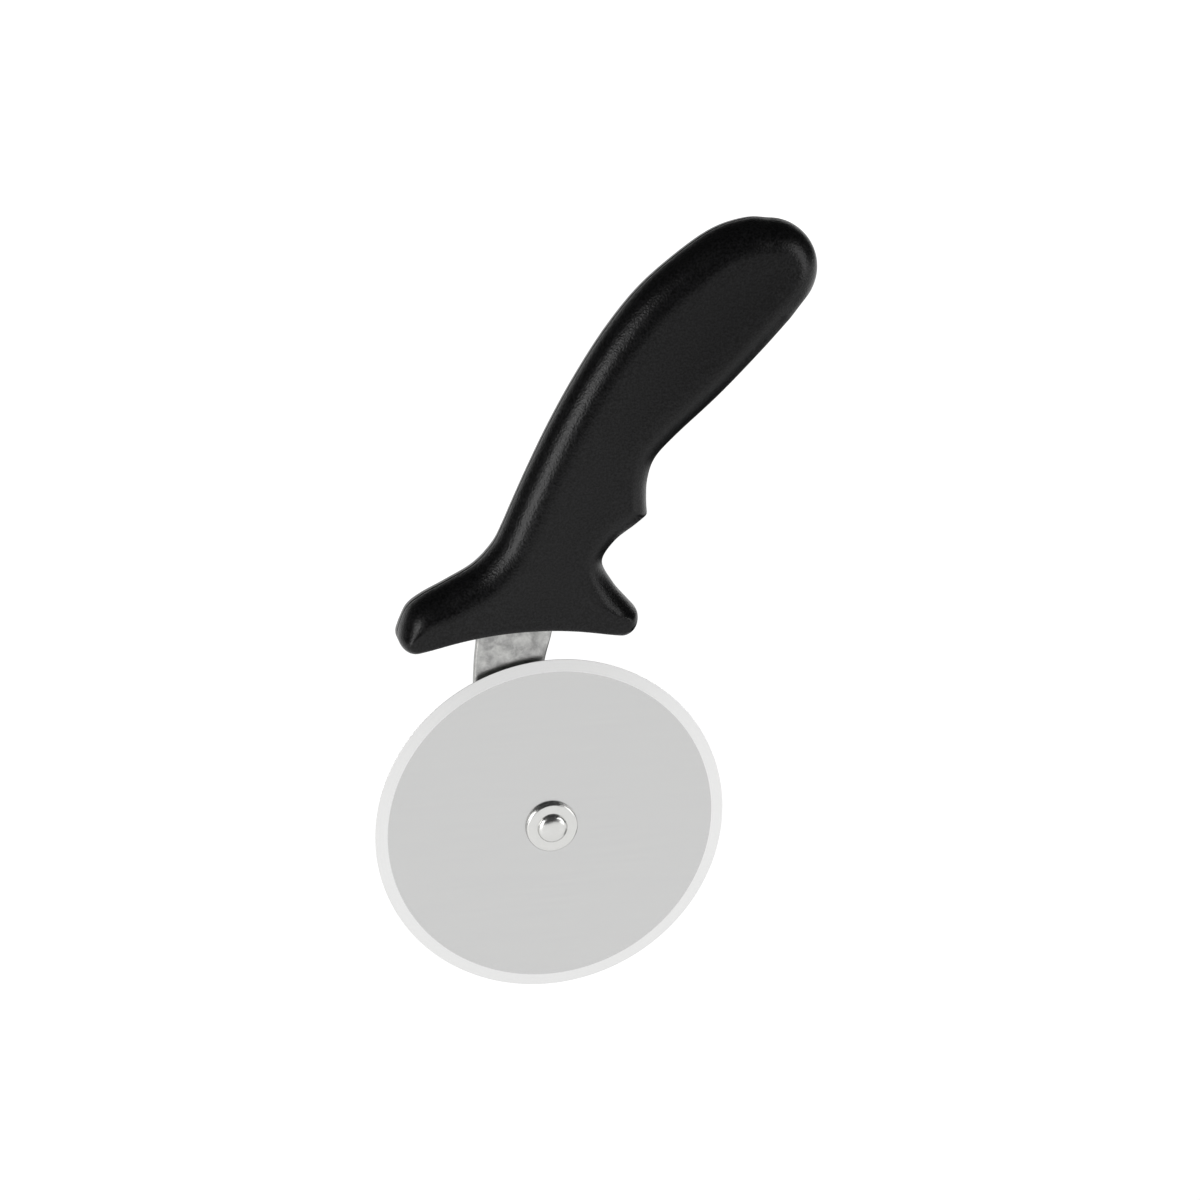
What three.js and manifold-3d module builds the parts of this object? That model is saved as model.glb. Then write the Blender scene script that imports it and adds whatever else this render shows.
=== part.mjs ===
// A hand-held pizza cutter: a bevelled steel wheel that turns on a rivet at the end of a flat steel
// arm, and a moulded two-shell handle that is welded round the arm's tang.
//
// Everything is drawn looking at the front: x to the right, y upwards, z towards the viewer, with
// the zero point on the wheel's axis in the middle plane of the arm. The last lines stand the
// drawing upright (+Z up, front towards -Y) and move the zero point to the middle of the grip.
import * as THREE from 'three';
import { mergeVertices } from 'three/addons/utils/BufferGeometryUtils.js';
import Module from 'manifold-3d';

const wasm = await Module();
wasm.setup();

// ---- driving dimensions, mm ----

// wheel
const WHEEL_DIAMETER = 101.6;
const WHEEL_THICKNESS = 1.2;
const BEVEL_WIDTH = 3.5;
const EDGE_THICKNESS = 0.2;
const WHEEL_FACETS = 88;

// axle stack, all on the wheel's axis
const SHANK_DIAMETER = 5;
const BUSH_WALL = 1.25;
const HEAD_DIAMETER = 8.7;
const HEAD_HEIGHT = 1.9;
const TAIL_DIAMETER = 7.4;
const TAIL_HEIGHT = 1.5;
const HEAD_WASHER_DIAMETER = 15.1;
const HEAD_WASHER_THICKNESS = 1.5;
const HEAD_WASHER_ROUNDING = 1.1;
const SPACER_DIAMETER = 15;
const SPACER_THICKNESS = 1.1;
const TAIL_WASHER_DIAMETER = 11;
const TAIL_WASHER_THICKNESS = 0.8;
const HUB_FACETS = 32;

// arm: a stamped strip, widest at the neck, with a narrower tang inside the handle
const ARM_THICKNESS = 2.5;
const NECK_WIDTH = 21.4;
const HUB_END_RADIUS = 11;
const TANG_WIDTH = 15;
const TANG_LENGTH = 56;
const TANG_FOOT = 9;
const TANG_LEAN = 0.46;
// the arm's course from the guard down to the wheel's axis: height as a share of the guard's rise,
// x of the arm's middle, and how much wider than the neck it is there
const ARM_COURSE = [
  [1.03, -8.7, 0.7],
  [0.91, -9.9, -0.1],
  [0.8, -11.1, -1.2],
  [0.66, -11.6, -1.9],
  [0.46, -10, -2],
  [0.26, -5.9, -1.2],
];

// handle: the guard's arch, whose heel and toe touch it so many radians from its crown
const GUARD_CLEARANCE = 11.2;
const NECK_X = -9.3;
const ARCH_RADIUS = 103.5;
const ARCH_CROWN_X = -8.4;
const ARCH_DROP = 0.4;
const ARCH_SPREAD = 0.5;
const HEEL_RADIUS = 3.7;
const HEEL_TURN = -0.289;
const TOE_RADIUS = 4.7;
const TOE_TURN = 0.272;

// handle: the grip and the moulding
const GRIP_RISE = 34.4;
const GRIP_LENGTH = 81.4;
const GRIP_LEAN = 0.62;
const BUTT_RADIUS = 13.7;
const HANDLE_THICKNESS = 18;
const HANDLE_WALL = 2.6;

// how finely the outlines and the roundings are drawn
const OUTLINE_POINTS = 124;
const ARCH_STEPS = 12;
const ARM_STEPS = 6;
const ROUND_STEPS = 4;
const BLEND_SHARE = 1.4;

// joints inside the handle
const PEG_DIAMETER = 5;
const POST_DIAMETER = 9;
const PEG_STATIONS = [15, 42];
const BUTT_POST_STATION = 0.8;
const RIB_THICKNESS = 1.6;
const RIB_STATIONS = [0.12, 0.38, 0.62];
const POST_FACETS = 24;

// clearances
const RUNNING_CLEARANCE = 0.05;
const SIDE_FLOAT = 0.1;
const STACK_GAP = 0.05;
const SHELL_GAP = 0.3;
const PEG_CLEARANCE = 0.15;

// ---- derived places ----

const WHEEL_RADIUS = WHEEL_DIAMETER / 2;
const GUARD_RISE = WHEEL_RADIUS + GUARD_CLEARANCE;
const HALF_HANDLE = HANDLE_THICKNESS / 2;
const HALF_ARM = ARM_THICKNESS / 2;
const SHANK_BORE = SHANK_DIAMETER / 2 + STACK_GAP;
const BUSH_RADIUS = SHANK_BORE + BUSH_WALL;
const WHEEL_BORE_RADIUS = BUSH_RADIUS + RUNNING_CLEARANCE;

// faces of the axle stack, from the arm's front face forwards and from its back face backwards
const SPACER_BACK = HALF_ARM + STACK_GAP;
const SPACER_FRONT = SPACER_BACK + SPACER_THICKNESS;
const WHEEL_BACK = SPACER_FRONT + SIDE_FLOAT;
const WHEEL_FRONT = WHEEL_BACK + WHEEL_THICKNESS;
const HEAD_WASHER_BACK = WHEEL_FRONT + SIDE_FLOAT;
const HEAD_WASHER_FRONT = HEAD_WASHER_BACK + HEAD_WASHER_THICKNESS;
const TAIL_WASHER_FRONT = -HALF_ARM - STACK_GAP;
const TAIL_WASHER_BACK = TAIL_WASHER_FRONT - TAIL_WASHER_THICKNESS;

// the tang runs up from the neck's centre, leaning to the right
const TANG_ROOT = new THREE.Vector2(NECK_X, GUARD_RISE);
const TANG_AXIS = new THREE.Vector2(Math.sin(TANG_LEAN), Math.cos(TANG_LEAN));

// the grip runs from above the finger notch to the butt, leaning further to the right
const GRIP_ROOT = new THREE.Vector2(9, GUARD_RISE + GRIP_RISE);
const GRIP_AXIS = new THREE.Vector2(Math.sin(GRIP_LEAN), Math.cos(GRIP_LEAN));

// ---- places ----

// a point of the guard: x from the wheel's axis, y from the level of the arm's shoulders
function onGuard(x, y) {
  return new THREE.Vector2(x, GUARD_RISE + y);
}

// a point above the guard's arch: radians from its crown, positive to the toe, and mm off the arch
function onArch(turn, rise) {
  const centre = onGuard(ARCH_CROWN_X, -ARCH_DROP - ARCH_RADIUS);
  const radius = ARCH_RADIUS + rise;
  return new THREE.Vector2(centre.x + radius * Math.sin(turn), centre.y + radius * Math.cos(turn));
}

// a point of the grip: a share of its length along its axis, and mm across, positive to the back
function onGrip(share, across) {
  const along = share * GRIP_LENGTH;
  return new THREE.Vector2(
    GRIP_ROOT.x + along * GRIP_AXIS.x - across * GRIP_AXIS.y,
    GRIP_ROOT.y + along * GRIP_AXIS.y + across * GRIP_AXIS.x,
  );
}

// a point of the tang: mm along its axis and mm across, positive to the left
function onTang(along, across = 0) {
  return new THREE.Vector2(
    TANG_ROOT.x + along * TANG_AXIS.x - across * TANG_AXIS.y,
    TANG_ROOT.y + along * TANG_AXIS.y + across * TANG_AXIS.x,
  );
}

// ---- outlines ----

// the handle seen from the front, run counter-clockwise. Its heel and toe end in arcs that touch the
// guard's arch. Between them it bulges past the arch, which is cut afterwards, so that the guard's
// edges are rounded everywhere but along the arch.
function handleOutline() {
  const heel = onArch(HEEL_TURN, HEEL_RADIUS);
  const toe = onArch(TOE_TURN, TOE_RADIUS);
  const butt = onGrip(1.005, -6.7);
  const level = -GRIP_LEAN;
  const shape = new THREE.Shape();
  shape.absarc(heel.x, heel.y, HEEL_RADIUS, 0.97 * Math.PI, 1.42 * Math.PI, false);
  shape.splineThru([onGuard(-34, -11), onGuard(-24, -22), onGuard(-8, -26), onGuard(8, -22),
    onGuard(17.5, -12.5), onGuard(21.5, -6.6)]);
  shape.absarc(toe.x, toe.y, TOE_RADIUS, -0.3 * Math.PI, 0.08 * Math.PI, false);
  // finger notch, from the toe up to the hook's tip
  shape.splineThru([onGuard(23, 4.1), onGuard(18.8, 9.4), onGuard(15.3, 16.7), onGuard(18.9, 22.6),
    onGuard(24.6, 26.7), onGuard(28.2, 29.5)]);
  // belly of the grip, from the hook up to the butt
  shape.splineThru([onGuard(27.9, 33.9), onGuard(28.2, 39.7), onGuard(30.2, 45.6), onGrip(0.36, -11.8),
    onGrip(0.56, -15.6), onGrip(0.76, -18.4), onGrip(0.91, -20)]);
  shape.absarc(butt.x, butt.y, BUTT_RADIUS, level, level + 0.69 * Math.PI, false);
  // back of the grip and the top of the guard, down to the heel
  shape.splineThru([onGrip(1.105, 6.1), onGrip(1.02, 12), onGrip(0.9, 16.3), onGrip(0.72, 20.4),
    onGrip(0.54, 21.7), onGrip(0.35, 21.2), onGrip(0.17, 19.7), onGrip(0, 17.5), onGuard(-10.1, 34),
    onGuard(-12.5, 28.6), onGuard(-15.4, 23.2), onGuard(-20.8, 17.7), onGuard(-28.6, 13.5),
    onGuard(-35.8, 9.9), onGuard(-39.9, 6.6), onGuard(-42, 1.9)]);
  return shape.getSpacedPoints(OUTLINE_POINTS).slice(0, OUTLINE_POINTS);
}

// a sector that holds everything under the guard's arch, its round side raised by lift
function underArch(lift) {
  const centre = onArch(0, -ARCH_RADIUS);
  const up = Math.PI / 2;
  const shape = new THREE.Shape();
  shape.absarc(centre.x, centre.y, ARCH_RADIUS + lift, up - ARCH_SPREAD, up + ARCH_SPREAD, false);
  return [centre, ...shape.getPoints(ARCH_STEPS)];
}

// the arm seen from the front, larger all round by grown, run counter-clockwise from the neck's
// right shoulder
function armOutline(grown) {
  const half = TANG_WIDTH / 2 + grown;
  const radius = HUB_END_RADIUS + grown;
  const end = onTang(TANG_LENGTH - TANG_WIDTH / 2);
  const edge = (side) => ARM_COURSE.map(([share, x, wider]) => new THREE.Vector2(
    x + side * ((NECK_WIDTH + wider) / 2 + grown),
    share * GUARD_RISE,
  ));
  const left = edge(-1);
  const right = edge(1).reverse();
  const shape = new THREE.Shape();
  shape.moveTo(right.at(-1).x, right.at(-1).y);
  const rightFoot = onTang(TANG_FOOT + grown, -half);
  shape.lineTo(rightFoot.x, rightFoot.y);
  shape.absarc(end.x, end.y, half, -TANG_LEAN, Math.PI - TANG_LEAN, false);
  const leftFoot = onTang(TANG_FOOT + grown, half);
  shape.lineTo(leftFoot.x, leftFoot.y);
  shape.lineTo(left[0].x, left[0].y);
  shape.splineThru(left.slice(1));
  const from = left.at(-1).angle() + Math.acos(radius / left.at(-1).length());
  const to = right[0].angle() - Math.acos(radius / right[0].length()) + 2 * Math.PI;
  shape.absarc(0, 0, radius, from, to, false);
  shape.lineTo(right[0].x, right[0].y);
  shape.splineThru(right.slice(1));
  return withoutRepeats(shape.getPoints(ARM_STEPS));
}

// stretches of an outline share their end points, and a solid wants each point once
function withoutRepeats(points) {
  return points.filter((point, i) => point.distanceTo(points.at(i - 1)) > 0.01);
}

// ---- solids ----

// the angles at which a rounded edge is drawn
const QUARTER_TURN = Array.from({ length: ROUND_STEPS + 1 }, (_, k) => (k / ROUND_STEPS) * (Math.PI / 2));

// the closed outline's inward directions, each the mean over the stretch within reach of its point,
// so that an inset outline keeps clear of itself at the tight corners
function inwardDirections(outline, reach) {
  const count = outline.length;
  const at = (i) => outline[(i + count) % count];
  const normals = outline.map((_, i) => {
    const along = at(i + 1).clone().sub(at(i - 1)).normalize();
    return new THREE.Vector2(-along.y, along.x);
  });
  return outline.map((_, i) => {
    const sum = new THREE.Vector2();
    let weights = 0;
    for (const side of [-1, 1]) {
      let distance = 0;
      for (let k = side === 1 ? 0 : 1; distance <= reach && k < count; k += 1) {
        const j = (i + side * k + count) % count;
        const weight = 1 - distance / (reach + 1);
        sum.addScaledVector(normals[j], weight);
        weights += weight;
        distance += at(j).distanceTo(at(j + side));
      }
    }
    return sum.divideScalar(weights);
  });
}

function inset(outline, distance) {
  const directions = inwardDirections(outline, Math.abs(distance));
  return outline.map((point, i) => point.clone().addScaledVector(directions[i], distance));
}

// a closed skin over rings of equally many points, from the back ring to the front ring
function skinned(rings) {
  const count = rings[0].points.length;
  const position = rings.flatMap(({ points, z }) => points.flatMap(({ x, y }) => [x, y, z]));
  const index = [];
  for (let k = 0; k + 1 < rings.length; k += 1) {
    for (let i = 0; i < count; i += 1) {
      const a = k * count + i;
      const b = k * count + ((i + 1) % count);
      index.push(a, b, b + count, a, b + count, a + count);
    }
  }
  const front = (rings.length - 1) * count;
  for (const [a, b, c] of THREE.ShapeUtils.triangulateShape(rings[0].points, [])) index.push(c, b, a);
  for (const [a, b, c] of THREE.ShapeUtils.triangulateShape(rings.at(-1).points, [])) {
    index.push(front + a, front + b, front + c);
  }
  const geometry = new THREE.BufferGeometry();
  geometry.setAttribute('position', new THREE.Float32BufferAttribute(position, 3));
  geometry.setIndex(index);
  return geometry;
}

// the front half of a slab whose edge is fully rounded, from a back plane to its flat front panel.
// The inset directions are blended over more than the rounding's own reach.
function roundedHalf(outline, back, front) {
  const directions = inwardDirections(outline, BLEND_SHARE * front);
  const rings = [{ points: outline, z: back }];
  for (const angle of QUARTER_TURN.slice(1)) {
    const depth = front * (1 - Math.cos(angle));
    rings.push({
      points: outline.map((point, i) => point.clone().addScaledVector(directions[i], depth)),
      z: front * Math.sin(angle),
    });
  }
  return skinned(rings);
}

function prism(points, back, front) {
  const outline = points.map((point) => point.clone());
  if (THREE.ShapeUtils.isClockWise(outline)) outline.reverse();
  return skinned([{ points: outline, z: back }, { points: outline, z: front }]);
}

function post(centre, diameter, back, front) {
  const circle = new THREE.EllipseCurve(centre.x, centre.y, diameter / 2, diameter / 2);
  return prism(circle.getPoints(POST_FACETS).slice(1), back, front);
}

function mirrored(geometry) {
  const result = geometry.clone().scale(1, 1, -1);
  const index = result.index.array;
  for (let i = 0; i < index.length; i += 3) [index[i], index[i + 1]] = [index[i + 1], index[i]];
  return result;
}

// turned about the wheel's axis: the profile holds [radius, z] points
function turned(profile) {
  const points = profile.map(([radius, z]) => new THREE.Vector2(radius, z));
  return new THREE.LatheGeometry(points, HUB_FACETS).rotateX(Math.PI / 2);
}

// a plain washer or bush on the rivet's shank
function washer(diameter, back, front) {
  const outer = diameter / 2;
  return turned([
    [SHANK_BORE, back],
    [outer, back],
    [outer, front],
    [SHANK_BORE, front],
    [SHANK_BORE, back],
  ]);
}

function toManifold(geometry) {
  const bare = geometry.clone();
  bare.deleteAttribute('normal');
  bare.deleteAttribute('uv');
  const merged = mergeVertices(bare, 1e-4);
  return new wasm.Manifold(new wasm.Mesh({
    numProp: 3,
    vertProperties: new Float32Array(merged.attributes.position.array),
    triVerts: new Uint32Array(merged.index.array),
  }));
}

function fromManifold(solid) {
  const { vertProperties, triVerts } = solid.getMesh();
  const geometry = new THREE.BufferGeometry();
  geometry.setAttribute('position', new THREE.Float32BufferAttribute(vertProperties, 3));
  geometry.setIndex([...triVerts]);
  return geometry;
}

// ---- handle ----

const PEG_PLACES = PEG_STATIONS.map((station) => onTang(station));
const BUTT_POST_PLACE = onGrip(BUTT_POST_STATION, 0);
const TANG_SEAT = HALF_ARM + STACK_GAP;
const SEAM = SHELL_GAP / 2;
const PEG_END = HALF_HANDLE - HANDLE_WALL - 1;

// walls, ribs and posts that both shells share, as the front shell has them
function plainShell() {
  const outline = handleOutline();
  const inner = inset(outline, HANDLE_WALL);
  const middle = inset(outline, HANDLE_WALL / 2);
  const ribFront = HALF_HANDLE - HANDLE_WALL / 2;
  const hollow = toManifold(roundedHalf(inner, -1, HALF_HANDLE - HANDLE_WALL))
    .subtract(toManifold(prism(underArch(HANDLE_WALL), -2, HANDLE_THICKNESS)));
  const core = toManifold(roundedHalf(middle, SEAM, ribFront));
  let shell = toManifold(roundedHalf(outline, SEAM, HALF_HANDLE)).subtract(hollow);
  for (const station of RIB_STATIONS) {
    shell = shell.add(toManifold(rib(station, ribFront)).intersect(core));
  }
  const slot = prism(armOutline(SHELL_GAP), -1, HALF_ARM + 2 * STACK_GAP);
  shell = shell.subtract(toManifold(slot));
  for (const place of PEG_PLACES) {
    shell = shell.add(toManifold(post(place, POST_DIAMETER, TANG_SEAT, ribFront)));
  }
  shell = shell.add(toManifold(post(BUTT_POST_PLACE, POST_DIAMETER, SEAM, ribFront)));
  return shell.subtract(toManifold(prism(underArch(0), -2, HANDLE_THICKNESS)));
}

function rib(station, front) {
  const half = RIB_THICKNESS / 2 / GRIP_LENGTH;
  const corners = [onGrip(station - half, 30), onGrip(station - half, -30),
    onGrip(station + half, -30), onGrip(station + half, 30)];
  return prism(corners, SEAM, front);
}

function frontShell() {
  let shell = plainShell();
  for (const place of [...PEG_PLACES, BUTT_POST_PLACE]) {
    const socket = post(place, PEG_DIAMETER + 2 * PEG_CLEARANCE, -1, PEG_END + SHELL_GAP);
    shell = shell.subtract(toManifold(socket));
  }
  return fromManifold(shell);
}

// drawn as a front shell with its pegs pointing backwards, then turned over
function rearShell() {
  let shell = plainShell();
  for (const place of [...PEG_PLACES, BUTT_POST_PLACE]) {
    shell = shell.add(toManifold(post(place, PEG_DIAMETER, -PEG_END, TANG_SEAT + 1)));
  }
  return mirrored(fromManifold(shell));
}

// ---- arm ----

function arm() {
  let plate = toManifold(prism(armOutline(0), -HALF_ARM, HALF_ARM));
  const hole = (place, diameter) => post(place, diameter, -ARM_THICKNESS, ARM_THICKNESS);
  for (const place of PEG_PLACES) {
    plate = plate.subtract(toManifold(hole(place, PEG_DIAMETER + 2 * SHELL_GAP)));
  }
  const axle = new THREE.Vector2(0, 0);
  plate = plate.subtract(toManifold(hole(axle, 2 * SHANK_BORE)));
  return fromManifold(plate);
}

// ---- wheel and axle ----

function wheelBlade() {
  const rim = WHEEL_RADIUS;
  const flat = WHEEL_RADIUS - BEVEL_WIDTH;
  const middle = (WHEEL_BACK + WHEEL_FRONT) / 2;
  const edge = EDGE_THICKNESS / 2;
  const profile = [[WHEEL_BORE_RADIUS, WHEEL_BACK], [flat, WHEEL_BACK], [rim, middle - edge],
    [rim, middle + edge], [flat, WHEEL_FRONT], [WHEEL_BORE_RADIUS, WHEEL_FRONT],
    [WHEEL_BORE_RADIUS, WHEEL_BACK]];
  const points = profile.map(([radius, z]) => new THREE.Vector2(radius, z));
  return new THREE.LatheGeometry(points, WHEEL_FACETS).rotateX(Math.PI / 2);
}

function hubBush() {
  return washer(2 * BUSH_RADIUS, SPACER_FRONT + STACK_GAP, HEAD_WASHER_BACK - STACK_GAP);
}

// the washer under the rivet's head, its outer front edge rounded over
function headWasher() {
  const outer = HEAD_WASHER_DIAMETER / 2;
  const round = HEAD_WASHER_ROUNDING;
  const profile = [[SHANK_BORE, HEAD_WASHER_BACK], [outer, HEAD_WASHER_BACK]];
  for (const angle of QUARTER_TURN) {
    const inwards = round * (1 - Math.cos(angle));
    const backwards = round * (1 - Math.sin(angle));
    profile.push([outer - inwards, HEAD_WASHER_FRONT - backwards]);
  }
  profile.push([SHANK_BORE, HEAD_WASHER_FRONT], [SHANK_BORE, HEAD_WASHER_BACK]);
  return turned(profile);
}

// domed head, shank and upset tail in one piece
function axleRivet() {
  const shank = SHANK_DIAMETER / 2;
  const headBack = HEAD_WASHER_FRONT + STACK_GAP;
  const tailFront = TAIL_WASHER_BACK - STACK_GAP;
  const profile = [];
  for (const angle of QUARTER_TURN) {
    profile.push([(TAIL_DIAMETER / 2) * Math.sin(angle), tailFront - TAIL_HEIGHT * Math.cos(angle)]);
  }
  profile.push([shank, tailFront], [shank, headBack]);
  for (const angle of QUARTER_TURN) {
    profile.push([(HEAD_DIAMETER / 2) * Math.cos(angle), headBack + HEAD_HEIGHT * Math.sin(angle)]);
  }
  profile[0][0] = 0;
  profile.at(-1)[0] = 0;
  return turned(profile);
}

// ---- assembly ----

const BLACK_PLASTIC = { color: 0x1c1c1e, roughness: 0.45, metalness: 0 };
const TUMBLED_STEEL = { color: 0xa9a9a8, roughness: 0.5, metalness: 0.9 };
const BLADE_STEEL = { color: 0xcfcfcf, roughness: 0.3, metalness: 0.9 };
const BRIGHT_STEEL = { color: 0xe0e0e0, roughness: 0.15, metalness: 1 };

function piece(name, geometry, finish) {
  const mesh = new THREE.Mesh(geometry, new THREE.MeshStandardMaterial(finish));
  mesh.name = name;
  return mesh;
}

const drawing = new THREE.Group();
drawing.add(
  piece('handle_front_shell', frontShell(), BLACK_PLASTIC),
  piece('handle_rear_shell', rearShell(), BLACK_PLASTIC),
  piece('arm', arm(), TUMBLED_STEEL),
  piece('wheel_blade', wheelBlade(), BLADE_STEEL),
  piece('hub_bush', hubBush(), BRIGHT_STEEL),
  piece('axle_rivet', axleRivet(), BRIGHT_STEEL),
  piece('head_washer', headWasher(), BRIGHT_STEEL),
  piece('spacer_washer', washer(SPACER_DIAMETER, SPACER_BACK, SPACER_FRONT), BRIGHT_STEEL),
  piece('tail_washer', washer(TAIL_WASHER_DIAMETER, TAIL_WASHER_BACK, TAIL_WASHER_FRONT), BRIGHT_STEEL),
);
drawing.rotation.x = Math.PI / 2;

// the middle of the grip, where a hand closes round it, becomes the zero point
const grip = onGrip(0.5, 3);
drawing.position.set(-grip.x, 0, -grip.y);
const cutter = new THREE.Group();
cutter.add(drawing);

export default cutter;
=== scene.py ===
# A hand-held pizza cutter: a black moulded handle of two shells, a stamped steel arm and a bevelled
# steel wheel on a rivet. Sizes are in mm, drawn looking at the front with the zero point on the
# wheel's axle: x to the right, y upwards, z towards the viewer.
import math

import bmesh
import bpy
import numpy as np
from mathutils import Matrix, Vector
from mathutils.geometry import delaunay_2d_cdt


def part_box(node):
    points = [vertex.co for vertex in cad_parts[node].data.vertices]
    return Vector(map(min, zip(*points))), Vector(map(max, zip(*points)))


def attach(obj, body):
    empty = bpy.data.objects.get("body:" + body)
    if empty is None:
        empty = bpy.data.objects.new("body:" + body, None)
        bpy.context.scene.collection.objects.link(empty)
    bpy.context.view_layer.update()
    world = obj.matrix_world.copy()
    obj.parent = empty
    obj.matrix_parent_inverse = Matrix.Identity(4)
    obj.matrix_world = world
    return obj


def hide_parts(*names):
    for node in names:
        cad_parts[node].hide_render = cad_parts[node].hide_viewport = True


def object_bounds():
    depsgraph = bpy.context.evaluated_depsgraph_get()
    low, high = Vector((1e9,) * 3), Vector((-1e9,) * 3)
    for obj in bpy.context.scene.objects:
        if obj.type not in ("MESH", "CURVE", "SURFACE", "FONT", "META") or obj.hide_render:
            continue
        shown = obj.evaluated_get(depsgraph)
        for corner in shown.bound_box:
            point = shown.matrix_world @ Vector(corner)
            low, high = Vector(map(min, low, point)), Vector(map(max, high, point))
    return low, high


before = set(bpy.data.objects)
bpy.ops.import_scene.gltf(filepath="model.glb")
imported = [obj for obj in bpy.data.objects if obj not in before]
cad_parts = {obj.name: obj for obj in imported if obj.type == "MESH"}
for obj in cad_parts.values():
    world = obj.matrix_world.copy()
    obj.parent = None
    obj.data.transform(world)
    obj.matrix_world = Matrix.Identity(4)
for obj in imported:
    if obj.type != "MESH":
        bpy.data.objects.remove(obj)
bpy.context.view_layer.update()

# ---- handle shells ----
# Two injection-moulded halves of black polypropylene, welded together round the arm's tang. A fine
# parting groove runs round the middle plane. The edges are fully rounded, except along the guard's
# arch, where the mould has only a small radius.

MM = 0.001
wheel_low, wheel_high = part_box("wheel_blade")
AXLE = Vector(((wheel_low.x + wheel_high.x) / 2, 0, (wheel_low.z + wheel_high.z) / 2))
HALF_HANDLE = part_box("handle_rear_shell")[1].y / MM

GUARD_RISE = 62.0
GRIP_ROOT = (9, GUARD_RISE + 34.4)
GRIP_LENGTH = 81.4
GRIP_LEAN = 0.62
BUTT_RADIUS = 13.6
NECK_X = -9.3
ARCH_RADIUS = 103.5
ARCH_CROWN = (-8.4, -0.4)
ARCH_EDGE_RADIUS = 1.1
ARCH_EDGE_RISE = 1.2
EDGE_CHANGE = 7
HEEL_RADIUS = 3.7
HEEL_TURN = -0.289
TOE_RADIUS = 4.7
TOE_TURN = 0.272
TOE_END = 0.08 * math.pi
BUTT_SWEEP = 0.69 * math.pi
HEEL_START = 0.97 * math.pi
OUTLINE_POINTS = 600
EDGE_BLEND = 20
HANDLE_WALL = 2.6
DISH_DEPTH = 0.4
DISH_REACH = 13
DISH_PITCH = 1.5
DISH_SMOOTHING = 12
INNER_CORNER = 0.6
SEAM = 0.15
SEAM_ROUNDING = 0.1
WELD_DEPTH = 0.6
WELD_STEP = 0.14
SLOT_CENTRE = NECK_X
SLOT_HALF_WIDTH = 11.4
SLOT_RISE = 1.4
INNER_WALL_RINGS = 9
OUTER_WALL_RINGS = 23
FIRST_RING = 0.012
CAP_INSET = 0.5


def on_guard(x, y):
    """A point of the guard: x from the axle, y from the crown of the arch."""
    return np.array((x, GUARD_RISE + y))


def on_grip(share, across):
    """A point of the grip: a share of its length, and mm across, positive to the back."""
    lean = np.array((math.sin(GRIP_LEAN), math.cos(GRIP_LEAN)))
    return np.array(GRIP_ROOT) + share * GRIP_LENGTH * lean + across * np.array((-lean[1], lean[0]))


def arc(centre, radius, start, end, steps=48):
    angles = np.linspace(start, end, steps + 1)
    return np.array(centre) + radius * np.column_stack((np.cos(angles), np.sin(angles)))


def flowing(line, points, steps=12):
    """The line, carried on by a smooth curve through more points."""
    knots = np.array([line[-1], line[-1], *points, points[-1]])
    pieces = [line]
    t = (np.arange(1, steps + 1) / steps)[:, None]
    for before, a, b, after in zip(knots, knots[1:], knots[2:], knots[3:]):
        leave, arrive = (b - before) / 2, (after - a) / 2
        pieces.append(a + leave * t + (3 * (b - a) - 2 * leave - arrive) * t**2
                      + (2 * (a - b) + leave + arrive) * t**3)
    return np.vstack(pieces)


def evened(line, count):
    """A closed line with its points spread evenly along it."""
    closed = np.vstack((line, line[:1]))
    gone = np.append(0, np.cumsum(np.linalg.norm(np.diff(closed, axis=0), axis=1)))
    stations = np.arange(count) / count * gone[-1]
    return np.column_stack([np.interp(stations, gone, closed[:, k]) for k in (0, 1)])


def spacing(line):
    return np.linalg.norm(np.roll(line, -1, axis=0) - line, axis=1).mean()


def softened(values, reach):
    """Each value of a closed run, averaged with its neighbours up to reach steps away."""
    steps = range(-int(reach), int(reach) + 1)
    weights = [1 - abs(k) / (reach + 1) for k in steps]
    return sum(w * np.roll(values, k, axis=0) for w, k in zip(weights, steps)) / sum(weights)


def inward(line, reach):
    """Inward directions of a closed counter-clockwise line, averaged over reach mm either way."""
    along = np.roll(line, -1, axis=0) - np.roll(line, 1, axis=0)
    along /= np.linalg.norm(along, axis=1)[:, None]
    return softened(np.column_stack((-along[:, 1], along[:, 0])), reach / spacing(line))


def placed(points, z):
    """Points of the drawing, z mm towards the viewer, as places in the frame."""
    z = np.broadcast_to(z, len(points))
    return np.column_stack((points[:, 0] * MM + AXLE.x, -z * MM, points[:, 1] * MM + AXLE.z))


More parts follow.
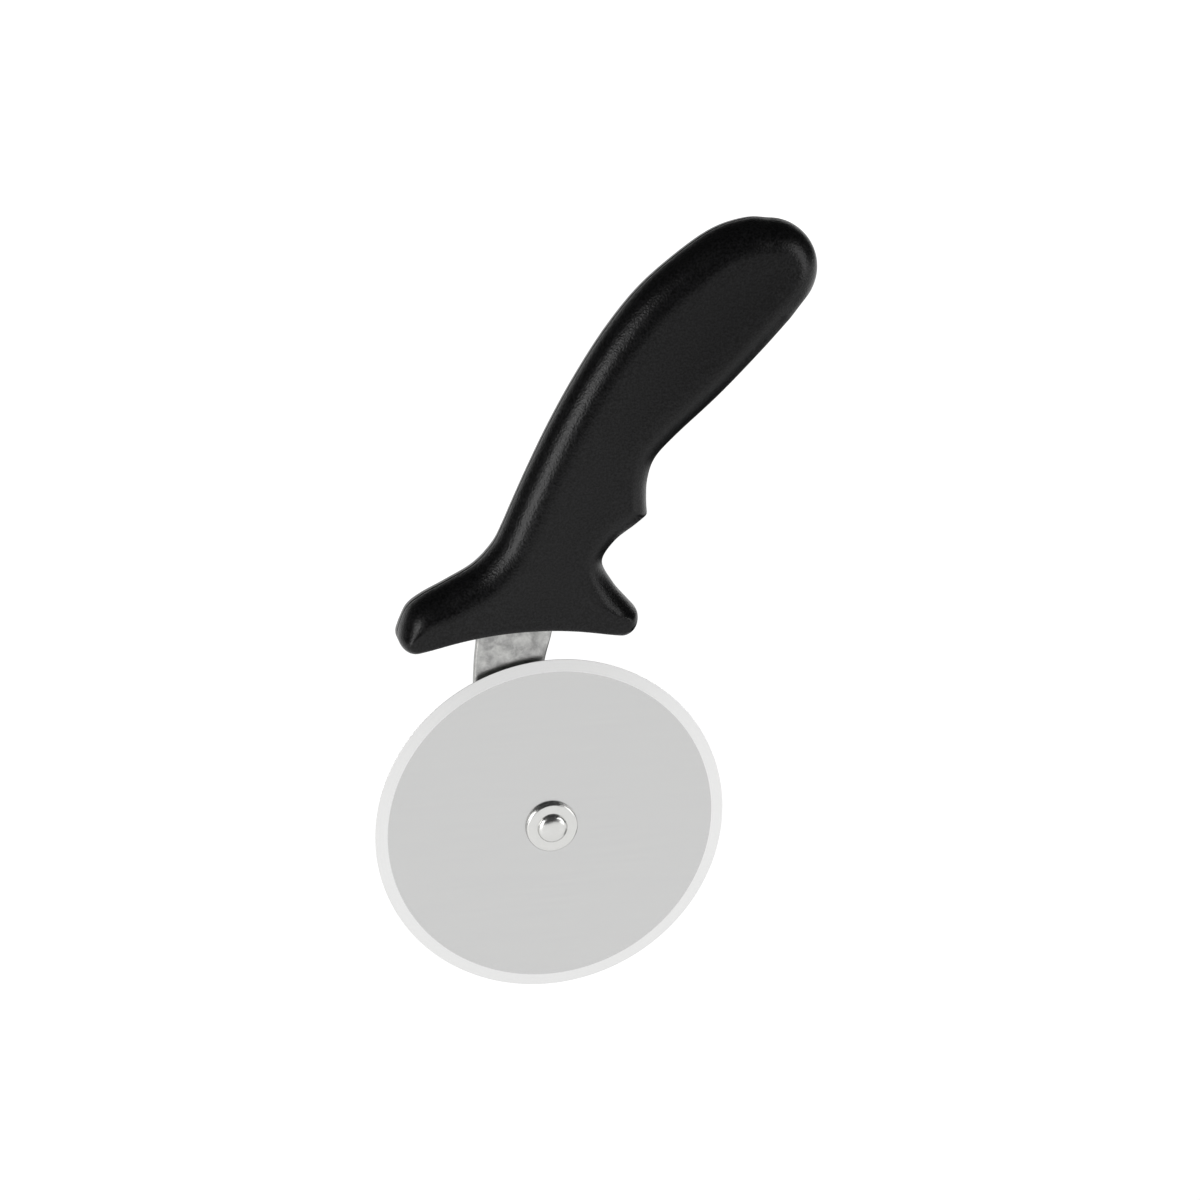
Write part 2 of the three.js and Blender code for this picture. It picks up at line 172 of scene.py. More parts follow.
def dished(rim, depth, reach):
    """Places and triangles that close a flat rim with a shallow dish: it falls away from the rim
    over reach mm. The triangles number the rim's places first."""
    flat = rim[:, [0, 2]] / MM
    ends = np.roll(flat, -1, axis=0)
    low, high = flat.min(axis=0), flat.max(axis=0)
    x, y = np.meshgrid(*(np.arange(low[k], high[k], DISH_PITCH) for k in (0, 1)))
    x[::2] += DISH_PITCH / 2
    inner = np.column_stack((x.ravel(), y.ravel()))
    height = inner[:, 1:]
    spans = (flat[:, 1] > height) != (ends[:, 1] > height)
    slope = (ends[:, 0] - flat[:, 0]) / np.where(ends[:, 1] == flat[:, 1], 1, ends[:, 1] - flat[:, 1])
    crossed = spans & (inner[:, :1] < flat[:, 0] + (height - flat[:, 1]) * slope)
    clear = np.linalg.norm(inner[:, None] - flat, axis=2).min(axis=1)
    kept = (crossed.sum(axis=1) % 2 == 1) & (clear > DISH_PITCH / 2)
    inner, clear = inner[kept], clear[kept]
    points = [Vector(point) for point in np.vstack((flat, inner))]
    edge = [(i, (i + 1) % len(flat)) for i in range(len(flat))]
    _, _, found, known, _, _ = delaunay_2d_cdt(points, edge, [], 1, 1e-5)
    triangles = np.array([[known[i][0] for i in face] for face in found])
    fall = np.append(np.zeros(len(flat)), 1 - (1 - np.minimum(clear / reach, 1))**2)
    pairs = np.vstack([triangles[:, [0, 1]], triangles[:, [1, 2]], triangles[:, [2, 0]]])
    pairs = np.vstack((pairs, pairs[:, ::-1]))
    shared = np.bincount(pairs[:, 0], minlength=len(fall))
    for _ in range(DISH_SMOOTHING):
        mean = np.bincount(pairs[:, 0], fall[pairs[:, 1]], minlength=len(fall)) / np.maximum(shared, 1)
        fall[len(flat):] = mean[len(flat):]
    y = rim[0, 1] - math.copysign(depth * MM, rim[0, 1]) * fall[len(flat):]
    return np.column_stack((inner[:, 0] * MM, y, inner[:, 1] * MM)), triangles


def skinned(name, rings, dish=0):
    """A closed solid: a skin over rings of equally many places, with a flat cap at either end, or
    with the last cap dished."""
    count, last = len(rings[0]), (len(rings) - 1) * len(rings[0])
    faces = [list(range(count))]
    for k in range(len(rings) - 1):
        for i in range(count):
            a, b = k * count + i, k * count + (i + 1) % count
            faces.append((a, b, b + count, a + count))
    if dish:
        inner, triangles = dished(rings[-1], dish, DISH_REACH)
        rings = [*rings, inner]
        faces.extend((triangles + last).tolist())
    else:
        faces.append(list(range(last, last + count)))
    mesh = bpy.data.meshes.new(name)
    mesh.from_pydata(np.vstack(rings).tolist(), [], faces)
    work = bmesh.new()
    work.from_mesh(mesh)
    bmesh.ops.recalc_face_normals(work, faces=work.faces)
    bmesh.ops.triangulate(work, faces=[f for f in work.faces if len(f.verts) > 4])
    work.to_mesh(mesh)
    work.free()
    mesh.polygons.foreach_set("use_smooth", [True] * len(mesh.polygons))
    piece = bpy.data.objects.new(name, mesh)
    bpy.context.scene.collection.objects.link(piece)
    return piece


def on_arch(turn, rise):
    """A point above the arch: radians from its crown, positive to the toe, and mm off the arch."""
    way = np.array((math.sin(turn), math.cos(turn)))
    return on_guard(ARCH_CROWN[0], ARCH_CROWN[1] - ARCH_RADIUS) + (ARCH_RADIUS + rise) * way


def handle_outline():
    """The handle's outline, counter-clockwise. The heel and the toe end in arcs that touch the arch."""
    level = -GRIP_LEAN
    line = arc(on_arch(TOE_TURN, TOE_RADIUS), TOE_RADIUS, -math.pi / 2 - TOE_TURN, TOE_END)
    line = flowing(line, [on_guard(23, 4.1), on_guard(18.8, 9.4), on_guard(15.3, 16.7),
                          on_guard(18.9, 22.6), on_guard(24.6, 26.7), on_guard(28.2, 29.5)])
    line = flowing(line, [on_guard(27.9, 33.9), on_guard(28.2, 39.7), on_guard(30.2, 45.6),
                          on_grip(0.36, -11.8), on_grip(0.56, -15.6), on_grip(0.76, -18.4),
                          on_grip(0.91, -20)])
    line = np.vstack((line, arc(on_grip(1.005, -6.7), BUTT_RADIUS, level, level + BUTT_SWEEP)))
    line = flowing(line, [on_grip(1.105, 6.1), on_grip(1.02, 12), on_grip(0.9, 16.3),
                          on_grip(0.72, 20.4), on_grip(0.54, 21.7), on_grip(0.35, 21.2),
                          on_grip(0.17, 19.7), on_grip(0, 17.5), on_guard(-10.1, 34),
                          on_guard(-12.5, 28.6), on_guard(-15.4, 23.2), on_guard(-20.8, 17.7),
                          on_guard(-28.6, 13.5), on_guard(-35.8, 9.9), on_guard(-39.9, 6.6),
                          on_guard(-42, 1.9)])
    heel = on_arch(HEEL_TURN, HEEL_RADIUS)
    line = np.vstack((line, arc(heel, HEEL_RADIUS, HEEL_START, 1.5 * math.pi - HEEL_TURN)))
    arch = arc(on_arch(0, -ARCH_RADIUS), ARCH_RADIUS,
               math.pi / 2 - HEEL_TURN, math.pi / 2 - TOE_TURN)
    return softened(evened(np.vstack((line, arch[1:-1])), OUTLINE_POINTS), 1)


def section(share, base, top, radius):
    """Depth and height at a share of the way up a wall that stands from base to top and turns over
    inwards with a radius at the top."""
    radius = np.minimum(radius, top)
    wall = np.maximum(top - radius - base, 0)
    gone = share * (wall + radius * math.pi / 2)
    turn = np.clip((gone - wall) / radius, 0, math.pi / 2)
    height = base + np.minimum(gone, wall) + (top - base - wall) * np.sin(turn)
    return radius * (1 - np.cos(turn)), height


def shell(name, side):
    line = handle_outline()
    step = spacing(line)
    near_arch = np.linalg.norm(line - on_arch(0, -ARCH_RADIUS), axis=1) < ARCH_RADIUS + ARCH_EDGE_RISE
    directions = inward(line, EDGE_BLEND)
    edge = np.where(near_arch, ARCH_EDGE_RADIUS, HALF_HANDLE)
    edge = softened(softened(edge, EDGE_CHANGE / step), EDGE_CHANGE / step)
    in_slot = near_arch & (np.abs(line[:, 0] - SLOT_CENTRE) < SLOT_HALF_WIDTH)
    seam = np.where(in_slot, SLOT_RISE, SEAM)
    rings = []
    for share in np.linspace(1, 0, INNER_WALL_RINGS):
        depth, height = section(share, seam - WELD_STEP, HALF_HANDLE - HANDLE_WALL,
                                np.maximum(edge - HANDLE_WALL, INNER_CORNER))
        rings.append((depth + HANDLE_WALL, height))
    rings.append((WELD_DEPTH, seam - WELD_STEP))
    rings.append((WELD_DEPTH, seam))
    for share in (0, FIRST_RING, 0.03, *np.linspace(0.06, 1, OUTER_WALL_RINGS)):
        depth, height = section(share, seam, HALF_HANDLE, edge)
        rings.append((depth + SEAM_ROUNDING * max(0, 1 - share / FIRST_RING), height))
    rings.append((edge + CAP_INSET, HALF_HANDLE))
    places = [placed(line + directions * np.broadcast_to(depth, len(line))[:, None], side * height)
              for depth, height in rings]
    return skinned(name, places, DISH_DEPTH)


def linear(colour):
    """An sRGB hex colour as the linear values that a shader takes."""
    parts = [int(colour[k:k + 2], 16) / 255 for k in (1, 3, 5)]
    return (*(c / 12.92 if c <= 0.04045 else ((c + 0.055) / 1.055)**2.4 for c in parts), 1)


def add(tree, kind, inputs=(), **settings):
    """One node with its settings; an input is a value, or another node's output that is linked to it."""
    node = tree.nodes.new(kind)
    for name, value in settings.items():
        setattr(node, name, value)
    for name, value in dict(inputs).items():
        if isinstance(value, bpy.types.NodeSocket):
            tree.links.new(value, node.inputs[name])
        else:
            node.inputs[name].default_value = value
    return node


def between(tree, share, first, second):
    """A colour on the way from the first to the second, as far as the share says."""
    colours = {"Factor": share, 6: linear(first), 7: linear(second)}
    return add(tree, "ShaderNodeMix", colours, data_type="RGBA").outputs[2]


def ranged(tree, value, low, high, start=0, end=1):
    """A value between start and end, stretched to lie between low and high."""
    limits = {"Value": value, 1: start, 2: end, 3: low, 4: high}
    return add(tree, "ShaderNodeMapRange", limits).outputs[0]


def finish(name, **constants):
    """A new material with its shader, whose constant sockets are given by name."""
    material = bpy.data.materials.new(name)
    material.use_nodes = True
    tree = material.node_tree
    tree.nodes.clear()
    inputs = {key.replace("_", " "): value for key, value in constants.items()}
    shader = add(tree, "ShaderNodeBsdfPrincipled", inputs)
    add(tree, "ShaderNodeOutputMaterial", {"Surface": shader.outputs[0]})
    return material, tree, shader


# Black polypropylene from a spark-eroded mould: near-black, with a soft sheen that the fine grain
# breaks up, and slight patches where hands and packing have polished it.
GRAIN = 0.55
POLISH_PATCH = 14
black_plastic, tree, shader = finish("black_moulded_polypropylene", IOR=1.29)
place = add(tree, "ShaderNodeTexCoord").outputs["Object"]
patches = add(tree, "ShaderNodeTexNoise",
              {"Vector": place, "Scale": 1 / (POLISH_PATCH * MM), "Detail": 3})
tree.links.new(ranged(tree, patches.outputs[0], 0.26, 0.32), shader.inputs["Roughness"])
grain = add(tree, "ShaderNodeTexNoise", {"Vector": place, "Scale": 1 / (GRAIN * MM), "Detail": 2})
speckle = ranged(tree, grain.outputs[0], 0, 1, 0.36, 0.66)
tree.links.new(between(tree, speckle, "#010101", "#161617"), shader.inputs["Base Color"])
bump = add(tree, "ShaderNodeBump", {"Strength": 1, "Distance": 0.12 * MM, "Height": grain.outputs[0]})
tree.links.new(bump.outputs[0], shader.inputs["Normal"])

for name, node, side in (
    ("handle_front", "handle_front_shell", 1),
    ("handle_rear", "handle_rear_shell", -1),
):
    piece = shell(name, side)
    piece.data.materials.append(black_plastic)
    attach(piece, "handle")
    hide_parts(node)

# ---- arm ----
# A blank stamped from 2.5 mm stainless strip, its tang holed for the handle's pegs and its round
# end for the axle. It was tumbled after stamping, which rounded its edges and left it mottled.

ARM_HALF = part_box("arm")[1].y / MM
ARM_EDGE_RADIUS = 0.9
NECK_WIDTH = 21.4
HUB_END_RADIUS = 11
TANG_HALF_WIDTH = 7.5
TANG_LENGTH = 56
TANG_FOOT = 9
TANG_LEAN = 0.46
ARM_POINTS = 640
AXLE_HOLE = 2.55
PEG_HOLE = 2.8
PEG_STATIONS = (15, 42)
ARM_EDGE_RINGS = 7
ARM_CAP_INSET = 0.3
# height as a share of the guard's rise, x of the arm's middle, and how much wider than the neck
ARM_COURSE = ((1.03, -8.7, 0.7), (0.91, -9.9, -0.1), (0.8, -11.1, -1.2), (0.66, -11.6, -1.9),
              (0.46, -10, -2), (0.26, -5.9, -1.2))


def on_tang(along, across=0.0):
    """A point of the tang: mm up its axis from the crown of the arch, and mm across to the left."""
    lean = np.array((math.sin(TANG_LEAN), math.cos(TANG_LEAN)))
    return on_guard(NECK_X, 0) + along * lean + across * np.array((-lean[1], lean[0]))


def straight(line, point):
    """The line, carried on straight to a point."""
    return np.vstack((line, line[-1] + np.linspace(0, 1, 25)[1:, None] * (point - line[-1])))


def arm_outline():
    left, right = ([np.array((x + side * (NECK_WIDTH + wider) / 2, share * GUARD_RISE))
                    for share, x, wider in ARM_COURSE] for side in (-1, 1))
    right.reverse()
    tip = on_tang(TANG_LENGTH - TANG_HALF_WIDTH)
    line = straight(right[-1][None], on_tang(TANG_FOOT, -TANG_HALF_WIDTH))
    line = straight(line, on_tang(TANG_LENGTH - TANG_HALF_WIDTH, -TANG_HALF_WIDTH))
    line = np.vstack((line, arc(tip, TANG_HALF_WIDTH, -TANG_LEAN, math.pi - TANG_LEAN)))
    line = straight(straight(line, on_tang(TANG_FOOT, TANG_HALF_WIDTH)), left[0])
    line = flowing(line, left[1:])
    ends = (left[-1], right[0])
    leave, meet = (math.atan2(end[1], end[0]) for end in ends)
    open_left, open_right = (math.acos(HUB_END_RADIUS / np.linalg.norm(end)) for end in ends)
    line = np.vstack((line, arc((0, 0), HUB_END_RADIUS, leave + open_left,
                                meet - open_right + 2 * math.pi, 96)))
    line = flowing(straight(line, right[0]), right[1:-1])
    return softened(evened(line, ARM_POINTS), 1)


def drilled(piece, holes):
    """The piece with round holes cut right through it: each is a centre and a radius."""
    cutters = []
    for centre, radius in holes:
        ring = arc(centre, radius, 0, 2 * math.pi, 64)[:-1]
        cutters.append(skinned("drill", [placed(ring, z) for z in (-2 * ARM_HALF, 2 * ARM_HALF)]))
        cut = piece.modifiers.new("hole", "BOOLEAN")
        cut.object, cut.operation, cut.solver = cutters[-1], "DIFFERENCE", "EXACT"
    made_plain(piece)
    for cutter in cutters:
        bpy.data.objects.remove(cutter)


def made_plain(piece):
    """The piece's modifiers turned into a plain mesh."""
    evaluated = piece.evaluated_get(bpy.context.evaluated_depsgraph_get())
    mesh = bpy.data.meshes.new_from_object(evaluated)
    piece.modifiers.clear()
    piece.data = mesh


line = arm_outline()
directions = inward(line, 0.5)
front_rings = []
for turn in np.linspace(0, math.pi / 2, ARM_EDGE_RINGS):
    height = ARM_HALF - ARM_EDGE_RADIUS * (1 - math.sin(turn))
    front_rings.append((ARM_EDGE_RADIUS * (1 - math.cos(turn)), height))
front_rings.append((ARM_EDGE_RADIUS + ARM_CAP_INSET, ARM_HALF))
back_rings = [(depth, -height) for depth, height in reversed(front_rings)]
arm = skinned("arm_plate", [placed(line + directions * depth, height)
                            for depth, height in back_rings + front_rings])
drilled(arm, [((0, 0), AXLE_HOLE), *((on_tang(station), PEG_HOLE) for station in PEG_STATIONS)])

# Tumbled stainless steel: a dull grey with cloudy patches a few mm across, where the tumbling stones
# have burnished it unevenly, over fine pits and scuffs.
CLOUD = 2.6
PIT = 0.7
tumbled_steel, tree, shader = finish("tumbled_stainless_steel", Metallic=1)
place = add(tree, "ShaderNodeTexCoord").outputs["Object"]
clouds = add(tree, "ShaderNodeTexNoise", {"Vector": place, "Scale": 1 / (CLOUD * MM), "Detail": 5,
                                          "Roughness": 0.65, "Distortion": 0.25})
pits = add(tree, "ShaderNodeTexNoise", {"Vector": place, "Scale": 1 / (PIT * MM), "Detail": 3})
tint = add(tree, "ShaderNodeValToRGB", {"Fac": clouds.outputs[0]})
tint.color_ramp.elements[0].position = 0.36
tint.color_ramp.elements[0].color = linear("#8C8C8B")
tint.color_ramp.elements[1].position = 0.66
tint.color_ramp.elements[1].color = linear("#B4B4B2")
tree.links.new(tint.outputs[0], shader.inputs["Base Color"])
dulled = ranged(tree, clouds.outputs[0], 0.38, 0.28, 0.3, 0.7)
tree.links.new(dulled, shader.inputs["Roughness"])
bump = add(tree, "ShaderNodeBump", {"Strength": 0.5, "Distance": 0.02 * MM, "Height": pits.outputs[0]})
tree.links.new(bump.outputs[0], shader.inputs["Normal"])

arm.data.materials.append(tumbled_steel)
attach(arm, "handle")
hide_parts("arm")

# ---- wheel ----
# A disc blanked from 1.2 mm stainless sheet and polished, its rim ground from both sides to a blunt
# cutting edge. It turns freely on the bush of the axle.

RAIL = 1.0
WHEEL_STEPS = 288
BEVEL_WIDTH = 3.5
HALF_EDGE = 0.1
WHEEL_BORE = 3.85
BORE_ROUNDING = 0.1
SHOULDER_ROUNDING = 0.15
EDGE_ROUNDING = 0.04
ROUNDING_POINTS = 7
FLAT_KEEPER = 1.3


def turning_tree():
    """A profile in its own XY plane, x the distance from the axle and y the height, swept round the
    axle into a closed part that stands with its axle along Y."""
    tree = bpy.data.node_groups.new("turned_part", "GeometryNodeTree")
    for name, kind in (("Profile", "Geometry"), ("Steps", "Int"), ("Rail Radius", "Float"),
                       ("Axle", "Vector"), ("Finish", "Material")):
        tree.interface.new_socket(name, in_out="INPUT", socket_type="NodeSocket" + kind)
    tree.interface.new_socket("Part", in_out="OUTPUT", socket_type="NodeSocketGeometry")
    given = add(tree, "NodeGroupInput").outputs
    profile = add(tree, "GeometryNodeMeshToCurve", {"Mesh": given["Profile"]})
    rail = add(tree, "GeometryNodeCurvePrimitiveCircle",
               {"Resolution": given["Steps"], "Radius": given["Rail Radius"]}, mode="RADIUS")
    swept = add(tree, "GeometryNodeCurveToMesh",
                {"Curve": rail.outputs["Curve"], "Profile Curve": profile.outputs[0]})
    closed = add(tree, "GeometryNodeMergeByDistance",
                 {"Geometry": swept.outputs[0], "Distance": 0.001 * MM})
    stood = add(tree, "GeometryNodeTransform",
                {"Geometry": closed.outputs[0], "Translation": given["Axle"],
                 "Rotation": (math.pi / 2, 0, 0)})
    smooth = add(tree, "GeometryNodeSetShadeSmooth",
                 {"Geometry": stood.outputs[0], "Shade Smooth": True})
    whole = add(tree, "GeometryNodeRealizeInstances", {"Geometry": smooth.outputs[0]})
    finished = add(tree, "GeometryNodeSetMaterial",
                   {"Geometry": whole.outputs[0], "Material": given["Finish"]})
    add(tree, "NodeGroupOutput", {"Part": finished.outputs[0]})
    return tree


def rounded(corners):
    """A closed profile whose corners are (distance from the axle, height, rounding), with a point
    beside each rounding that keeps the flat beyond it flat."""
    count = len(corners)
    points = []
    for i, (x, y, rounding) in enumerate(corners):
        corner = np.array((x, y), float)
        if not rounding:
            points.append(corner)
            continue
        ways = [np.array(corners[(i + k) % count][:2], float) - corner for k in (-1, 1)]
        before, after = (corner + way / np.linalg.norm(way) * rounding for way in ways)
        points.append(corner + (before - corner) * FLAT_KEEPER)
        for t in np.linspace(0, 1, ROUNDING_POINTS):
            points.append((1 - t)**2 * before + 2 * t * (1 - t) * corner + t**2 * after)
        points.append(corner + (after - corner) * FLAT_KEEPER)
    return np.array(points)


def turned(name, profile, material, steps, closed=True):
    """A part turned about the axle from a profile in mm."""
    count = len(profile)
    edges = [(i, (i + 1) % count) for i in range(count if closed else count - 1)]
    mesh = bpy.data.meshes.new(name)
    flat = [((x - RAIL) * MM, -y * MM, 0) for x, y in profile]
    mesh.from_pydata(flat, edges, [])
    piece = bpy.data.objects.new(name, mesh)
    bpy.context.scene.collection.objects.link(piece)
    turning = piece.modifiers.new("turning", "NODES")
    turning.node_group = TURNING
    wanted = {"Steps": steps, "Rail Radius": RAIL * MM, "Axle": AXLE, "Finish": material}
    for item in TURNING.interface.items_tree:
        if item.name in wanted:
            turning[item.identifier] = wanted[item.name]
    made_plain(piece)
    work = bmesh.new()
    work.from_mesh(piece.data)
    bmesh.ops.recalc_face_normals(work, faces=work.faces)
    work.to_mesh(piece.data)
    work.free()
    return piece


TURNING = turning_tree()

# Polished stainless sheet: bright, with a faint straight rolling grain that the polish has left.
ROLLING_LINE = 0.8
blade_steel, tree, shader = finish("polished_stainless_sheet", Metallic=1)
place = add(tree, "ShaderNodeTexCoord").outputs["Object"]
lines = add(tree, "ShaderNodeMapping",
            {"Vector": place, "Scale": (0.04, 1, 1), "Rotation": (0, 0.35, 0)})
rolling = add(tree, "ShaderNodeTexNoise", {"Vector": lines.outputs[0], "Scale": 1 / (ROLLING_LINE * MM),
                                           "Detail": 4})
tree.links.new(between(tree, rolling.outputs[0], "#BCBCBC", "#C0C0BF"), shader.inputs["Base Color"])
tree.links.new(ranged(tree, rolling.outputs[0], 0.2, 0.26), shader.inputs["Roughness"])

# Ground stainless steel, the sheet's own alloy: its base colour is set paler than the sheet's as a
# painted highlight for the brighter light that the bevel catches. The grinding wheel's fine lines run
# round the rim, and are drawn coarser than they are so that they show.
GRINDING_LINE = 0.3
bevel_steel_painted_bright, tree, shader = finish("ground_bevel_painted_highlight", Metallic=1)
place = add(tree, "ShaderNodeTexCoord").outputs["Object"]
centred = add(tree, "ShaderNodeVectorMath", {0: place, 1: AXLE}, operation="SUBTRACT")
apart = add(tree, "ShaderNodeSeparateXYZ", {0: centred.outputs[0]})
across = add(tree, "ShaderNodeCombineXYZ", {"X": apart.outputs["X"], "Z": apart.outputs["Z"]})
radius = add(tree, "ShaderNodeVectorMath", {0: across.outputs[0]}, operation="LENGTH")
grinding = add(tree, "ShaderNodeTexNoise",
               {"W": radius.outputs["Value"], "Scale": 1 / (GRINDING_LINE * MM), "Detail": 2},
               noise_dimensions="1D")
# painted highlight: the bevel's base colour is set paler than the blade sheet's, for the light it
# catches
tree.links.new(between(tree, grinding.outputs[0], "#D6D6D6", "#DCDCDB"), shader.inputs["Base Color"])
tree.links.new(ranged(tree, grinding.outputs[0], 0.26, 0.34), shader.inputs["Roughness"])

wheel_radius = (wheel_high.x - wheel_low.x) / 2 / MM
back, front = -wheel_high.y / MM, -wheel_low.y / MM
middle = (back + front) / 2
flat = wheel_radius - BEVEL_WIDTH
profile = rounded(((WHEEL_BORE, back, BORE_ROUNDING),
                   (flat, back, SHOULDER_ROUNDING),
                   (wheel_radius, middle - HALF_EDGE, EDGE_ROUNDING),
                   (wheel_radius, middle + HALF_EDGE, EDGE_ROUNDING),
                   (flat, front, SHOULDER_ROUNDING),
                   (WHEEL_BORE, front, BORE_ROUNDING)))
wheel = turned("wheel", profile, blade_steel, WHEEL_STEPS)
# the bevel's faces take the paler steel, whose extra paleness is painted highlight
wheel.data.materials.append(bevel_steel_painted_bright)
for face in wheel.data.polygons:
    face.material_index = int(math.hypot(face.center.x - AXLE.x, face.center.z - AXLE.z) > flat * MM)
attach(wheel, "wheel")
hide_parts("wheel_blade")

# ---- axle ----
# A steel rivet with a domed head, nickel-plated like the washers and the bush that it clamps: a
# thick round-edged washer before the wheel, the bush inside it, a spacer behind it and a small
# washer behind the arm, over which the rivet's tail is upset.

HUB_STEPS = 128
BORE = 2.55
SHANK = 2.5
DOME_STEPS = 14
TAIL_RADIUS = 3.7
CLEARANCE = 0.05
UNDERCUT = 0.1

# Bright nickel plate: nearly a mirror, dulled a little by handling, so it shows the room round it.
SMEAR = 2.5
bright_steel, tree, shader = finish("bright_nickel_plate", Metallic=1)
place = add(tree, "ShaderNodeTexCoord").outputs["Object"]
smears = add(tree, "ShaderNodeTexNoise", {"Vector": place, "Scale": 1 / (SMEAR * MM), "Detail": 3})
tree.links.new(between(tree, smears.outputs[0], "#C6C6C4", "#CECECC"), shader.inputs["Base Color"])
tree.links.new(ranged(tree, smears.outputs[0], 0.2, 0.27), shader.inputs["Roughness"])


def reach(node):
    """A node's back and front along the axle, and its radius, in mm."""
    low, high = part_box(node)
    return -high.y / MM, -low.y / MM, (high.x - low.x) / 2 / MM


def washer(name, node, bore, back_rounding, front_rounding):
    back, front, outer = reach(node)
    profile = rounded(((bore, back, BORE_ROUNDING), (outer, back, back_rounding),
                       (outer, front, front_rounding), (bore, front, BORE_ROUNDING)))
    return turned(name, profile, bright_steel, HUB_STEPS)


def rivet():
    tail_back, head_front, head_radius = reach("axle_rivet")
    head_back = reach("head_washer")[1] + CLEARANCE
    tail_front = reach("tail_washer")[0] - CLEARANCE
    turns = np.linspace(0, math.pi / 2, DOME_STEPS)
    tail = [(TAIL_RADIUS * math.sin(turn), tail_front + (tail_back - tail_front) * math.cos(turn))
            for turn in turns]
    head = [(head_radius * math.cos(turn), head_back + (head_front - head_back) * math.sin(turn))
            for turn in turns]
    tail[0], head[-1] = (0, tail_back), (0, head_front)
    profile = [*tail, (TAIL_RADIUS - UNDERCUT, tail_front), (SHANK, tail_front), (SHANK, head_back),
               (head_radius - UNDERCUT, head_back), *head]
    return turned("axle_rivet_turned", profile, bright_steel, HUB_STEPS, closed=False)


for piece, node in (
    (washer("washer_front", "head_washer", BORE, 0.1, 1.0), "head_washer"),
    (washer("washer_spacer", "spacer_washer", BORE, 0.15, 0.15), "spacer_washer"),
    (washer("washer_tail", "tail_washer", BORE, 0.15, 0.15), "tail_washer"),
    (washer("bush", "hub_bush", BORE, 0.1, 0.1), "hub_bush"),
    (rivet(), "axle_rivet"),
):
    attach(piece, "handle")
    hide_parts(node)

# ---- studio ----
# A wide white light table under the cutter, a grey room that the camera sees as white, and a softbox
# at either side. The cutter hangs a little above the table, so that it throws no shadow on it.

TABLE_DROP = 0.2
TABLE_FRONT = -1.8
TABLE_BACK = 5.0
TABLE_HALF = 4.0
CAMERA_AZIMUTH = -13
CAMERA_ELEVATION = 20.36
CAMERA_DISTANCE = 0.802
CAMERA_LENS = 85.83
CUTTER_MIDDLE = AXLE + Vector((0.0151, 0, 0.0663))
table_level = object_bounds()[0].z - TABLE_DROP


def board(name, material, corners, seen=True):
    """A flat board between four corners, in sight of the camera or not."""
    mesh = bpy.data.meshes.new(name)
    mesh.from_pydata([tuple(corner) for corner in corners], [], [(0, 1, 2, 3)])
    mesh.materials.append(material)
    flat_board = bpy.data.objects.new(name, mesh)
    bpy.context.scene.collection.objects.link(flat_board)
    flat_board.visible_camera = seen


# Opal acrylic lit from below: even and white.
opal, tree, shader = finish("lit_opal_acrylic", Roughness=0.6)
shader.inputs["Base Color"].default_value = linear("#808080")
shader.inputs["Emission Color"].default_value = (1, 1, 1, 1)
shader.inputs["Emission Strength"].default_value = 1.0
board("light_table", opal, [(-TABLE_HALF, TABLE_FRONT, table_level),
                            (TABLE_HALF, TABLE_FRONT, table_level),
                            (TABLE_HALF, TABLE_BACK, table_level),
                            (-TABLE_HALF, TABLE_BACK, table_level)])

world = bpy.data.worlds.new("room")
bpy.context.scene.world = world
world.use_nodes = True
tree = world.node_tree
tree.nodes.clear()
room = add(tree, "ShaderNodeBackground", {"Color": linear("#404040"), "Strength": 1})
white = add(tree, "ShaderNodeBackground", {"Color": (1, 1, 1, 1), "Strength": 1})
seen = add(tree, "ShaderNodeLightPath").outputs["Is Camera Ray"]
mixed = add(tree, "ShaderNodeMixShader", {0: seen, 1: room.outputs[0], 2: white.outputs[0]})
add(tree, "ShaderNodeOutputWorld", {"Surface": mixed.outputs[0]})


def towards(azimuth, elevation):
    """The direction at an azimuth from the front, positive to the right, and an elevation."""
    a, e = math.radians(azimuth), math.radians(elevation)
    return Vector((math.sin(a) * math.cos(e), -math.cos(a) * math.cos(e), math.sin(e)))


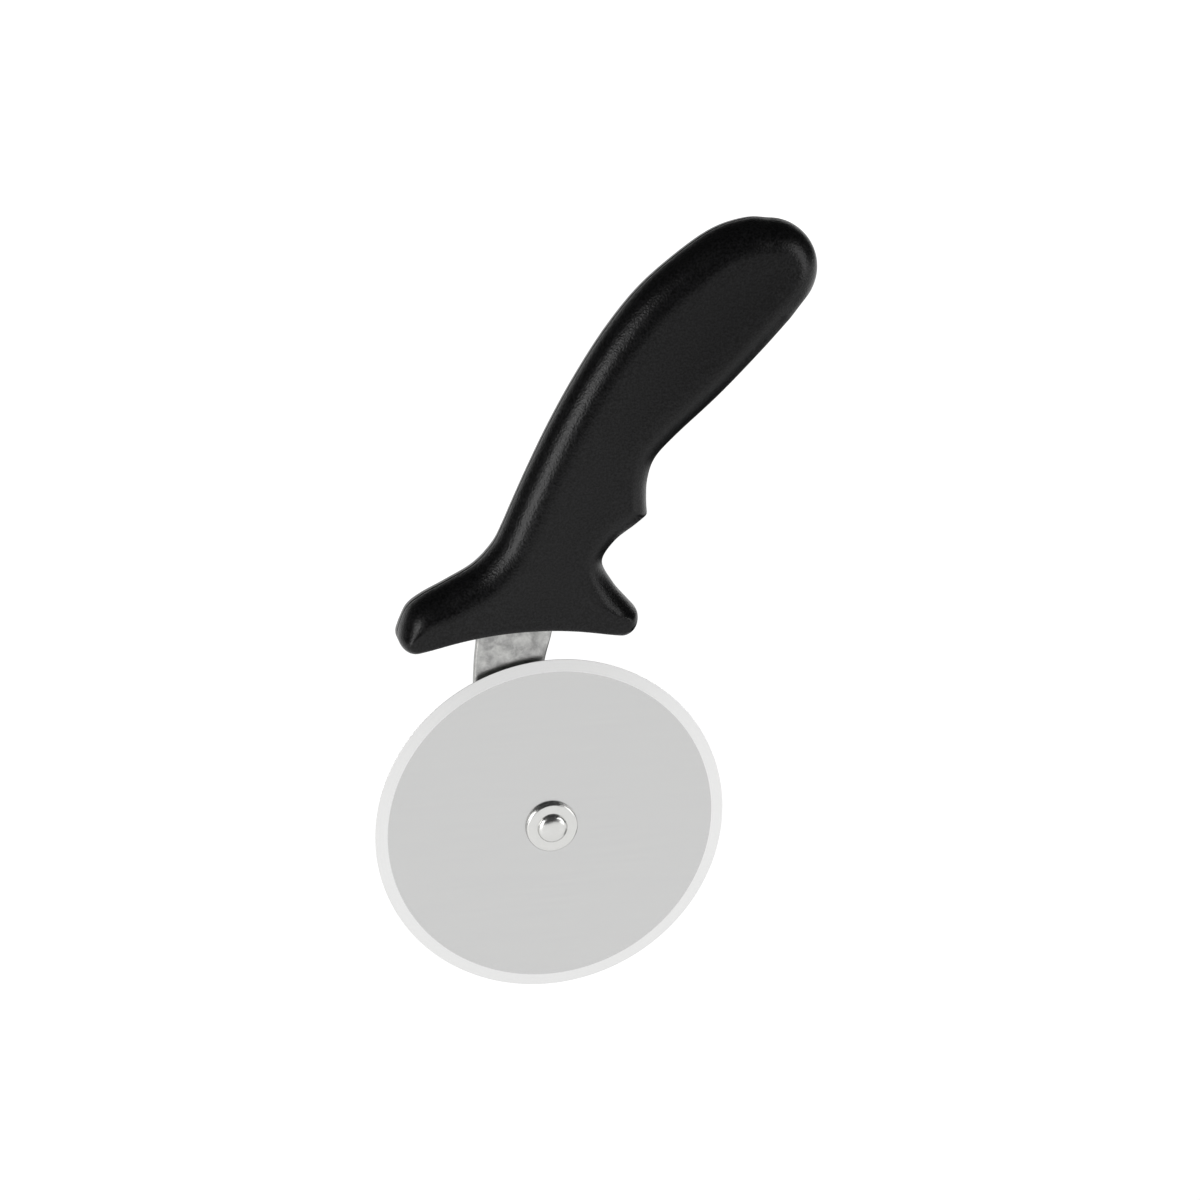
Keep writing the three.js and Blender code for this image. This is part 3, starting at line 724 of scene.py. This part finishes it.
def softbox(name, azimuth, elevation, distance, width, height, radiance):
    """A softbox aimed at the cutter from a direction, out of sight of the camera. Sizes in metres."""
    light = bpy.data.lights.new(name, "AREA")
    light.shape = "RECTANGLE"
    light.size, light.size_y = width, height
    light.energy = radiance * math.pi * width * height
    lamp = bpy.data.objects.new(name, light)
    bpy.context.scene.collection.objects.link(lamp)
    way = towards(azimuth, elevation)
    lamp.location = CUTTER_MIDDLE + way * distance
    lamp.rotation_euler = way.to_track_quat("Z", "Y").to_euler()
    lamp.visible_camera = False


softbox("softbox_left", -58, 12, 1.4, 0.56, 0.9, 8.0)
softbox("softbox_right", 52, 12, 0.8, 0.46, 0.6, 3.2)


def card(name, material, centre, azimuth, width, height):
    """An upright card that faces the cutter from an azimuth, out of sight of the camera."""
    turn = math.radians(azimuth)
    across = Vector((math.cos(turn), math.sin(turn), 0)) * width / 2
    up = Vector((0, 0, height / 2))
    corners = [Vector(centre) + x * across + z * up for x, z in ((-1, -1), (1, -1), (1, 1), (-1, 1))]
    board(name, material, corners, seen=False)


# Matt black card: it takes light away from what mirrors it.
matt_black, tree, shader = finish("matt_black_flag", Roughness=0.9)
shader.inputs["Base Color"].default_value = linear("#101010")

# The white cards fill what the steel and the handle's panel mirror, and the black flags give them
# the dark streaks that bright metal and smooth plastic show in a studio.
card("card_low", opal, (0.0, -0.42, table_level + 0.15), 0, 0.9, 0.3)
card("flag_near", matt_black, (0.11, -0.15, -0.06), 0, 0.09, 0.05)
card("flag_front", matt_black, (-0.055, -0.62, -0.045), 0, 0.23, 0.49)
card("card_bevel", opal, (0.09, -0.43, -0.09), 0, 0.24, 0.08)
card("backdrop", opal, (0, TABLE_BACK - 0.5, table_level + 1.0), 180, 8, 2.0)
board("flag_below", matt_black, [(0.2, -0.08, table_level + 0.01), (0.5, -0.08, table_level + 0.01),
                                 (0.5, 1.1, table_level + 0.01), (0.2, 1.1, table_level + 0.01)],
      seen=False)

camera = bpy.data.cameras.new("camera")
camera.lens = CAMERA_LENS
camera.sensor_width = 36
camera.clip_start, camera.clip_end = 0.01, 60
viewer = bpy.data.objects.new("camera", camera)
bpy.context.scene.collection.objects.link(viewer)
way = towards(CAMERA_AZIMUTH, CAMERA_ELEVATION)
viewer.location = CUTTER_MIDDLE + way * CAMERA_DISTANCE
viewer.rotation_euler = way.to_track_quat("Z", "Y").to_euler()
bpy.context.scene.camera = viewer
bpy.context.scene.view_settings.view_transform = "Standard"
